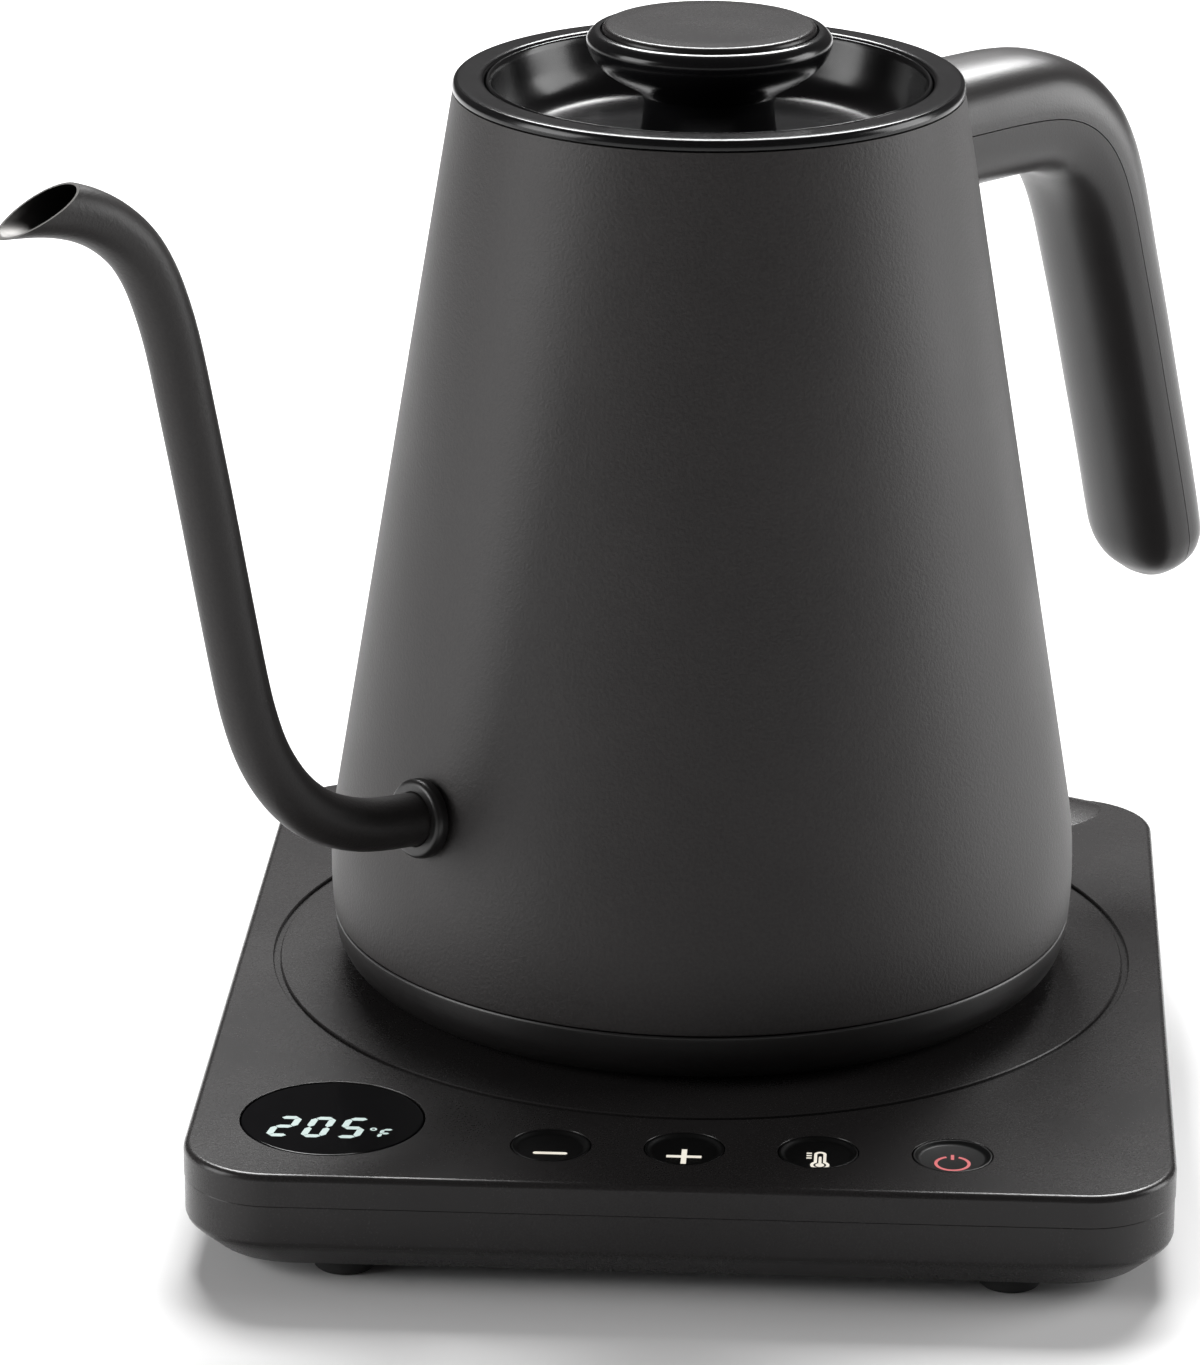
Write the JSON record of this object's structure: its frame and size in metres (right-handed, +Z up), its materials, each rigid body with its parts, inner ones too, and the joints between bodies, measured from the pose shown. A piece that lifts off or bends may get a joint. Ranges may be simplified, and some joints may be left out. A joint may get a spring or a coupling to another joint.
{
  "type": "electric kettle",
  "caption": "Cone-shaped gooseneck electric kettle with lift-off knobbed lid and open-ended handle, on a flat rectangular power base with round display and press buttons.",
  "frame": {"origin": "centre of the whole object's box, at the level the feet stand on, with the kettle seated and turned as in use", "axes": "+Z up, -Y towards the side with the display and buttons, +X to the right of it; X is the longest side of the box"},
  "size_m": [0.204, 0.1976, 0.1964],
  "materials": {
    "painted_steel": "fine-grained matt charcoal powder coat",
    "satin_plastic": "satin black moulded plastic",
    "gloss_plastic": "polished black plastic",
    "soft_rubber": "black rubber",
    "bare_steel": "bare stainless steel",
    "contact_brass": "bare brass",
    "inner_plastic": "heat-resistant moulded plastic",
    "circuit_board": "green fibreglass board"
  },
  "bodies": {
    "base": {"base_top_cover": "satin_plastic", "base_lower_housing": "satin_plastic", "foot_front_left": "soft_rubber", "foot_front_right": "soft_rubber", "foot_rear_left": "soft_rubber", "foot_rear_right": "soft_rubber", "base_screw_1": "bare_steel", "base_screw_2": "bare_steel", "base_screw_3": "bare_steel", "base_screw_4": "bare_steel", "cord_inlet_gland": "soft_rubber", "display_lens": "gloss_plastic", "display_module": "inner_plastic", "control_board": "circuit_board", "switch_minus": "bare_steel", "switch_plus": "bare_steel", "switch_preset": "bare_steel", "switch_power": "bare_steel", "buzzer": "satin_plastic", "power_board": "circuit_board", "power_transformer": "inner_plastic", "heater_relay": "inner_plastic", "base_socket": "satin_plastic", "socket_centre_contact": "contact_brass", "socket_ring_contact": "contact_brass"},
    "plug": {"kettle_plug": "inner_plastic", "plug_centre_pin": "contact_brass", "plug_ring_contact": "contact_brass"},
    "kettle": {"vessel_body": "painted_steel", "vessel_floor": "bare_steel", "spout_filter": "bare_steel", "heating_element": "bare_steel", "temperature_probe": "bare_steel", "dry_boil_cutout": "inner_plastic", "bottom_cover": "satin_plastic", "bottom_seal": "soft_rubber", "bottom_screw_1": "bare_steel", "bottom_screw_2": "bare_steel", "bottom_screw_3": "bare_steel", "spout_tube": "painted_steel", "spout_collar": "gloss_plastic", "handle_outer_shell": "satin_plastic", "handle_inner_shell": "satin_plastic", "handle_bracket": "bare_steel", "handle_screw": "bare_steel", "top_collar": "gloss_plastic"},
    "lid": {"lid_dish": "gloss_plastic", "lid_seal": "soft_rubber", "lid_underplate": "bare_steel", "knob_body": "gloss_plastic", "knob_cap": "satin_plastic", "knob_screw": "bare_steel"},
    "button_minus": {"button_minus": "satin_plastic"},
    "button_plus": {"button_plus": "satin_plastic"},
    "button_preset": {"button_preset": "satin_plastic"},
    "button_power": {"button_power": "satin_plastic"}
  },
  "joints": [
    {"name": "kettle_lift", "type": "slide", "parent": "base", "child": "plug", "axis": [0, 0, 1], "range_m": [0, 0.16]},
    {"name": "kettle_swivel", "type": "hinge", "parent": "plug", "child": "kettle", "pos_m": [0.00959, 0.00906, 0.0303], "axis": [0, 0, 1], "continuous": true},
    {"name": "lid_lift", "type": "slide", "parent": "kettle", "child": "lid", "axis": [0, 0, 1], "range_m": [0, 0.08]},
    {"name": "button_minus_press", "type": "slide", "parent": "base", "child": "button_minus", "axis": [0, 0, -1], "range_m": [0, 0.0008], "stiffness_N_per_m": 900, "springref_m": -0.0008},
    {"name": "button_plus_press", "type": "slide", "parent": "base", "child": "button_plus", "axis": [0, 0, -1], "range_m": [0, 0.0008], "stiffness_N_per_m": 900, "springref_m": -0.0008},
    {"name": "button_preset_press", "type": "slide", "parent": "base", "child": "button_preset", "axis": [0, 0, -1], "range_m": [0, 0.0008], "stiffness_N_per_m": 900, "springref_m": -0.0008},
    {"name": "button_power_press", "type": "slide", "parent": "base", "child": "button_power", "axis": [0, 0, -1], "range_m": [0, 0.0008], "stiffness_N_per_m": 900, "springref_m": -0.0008}
  ]
}
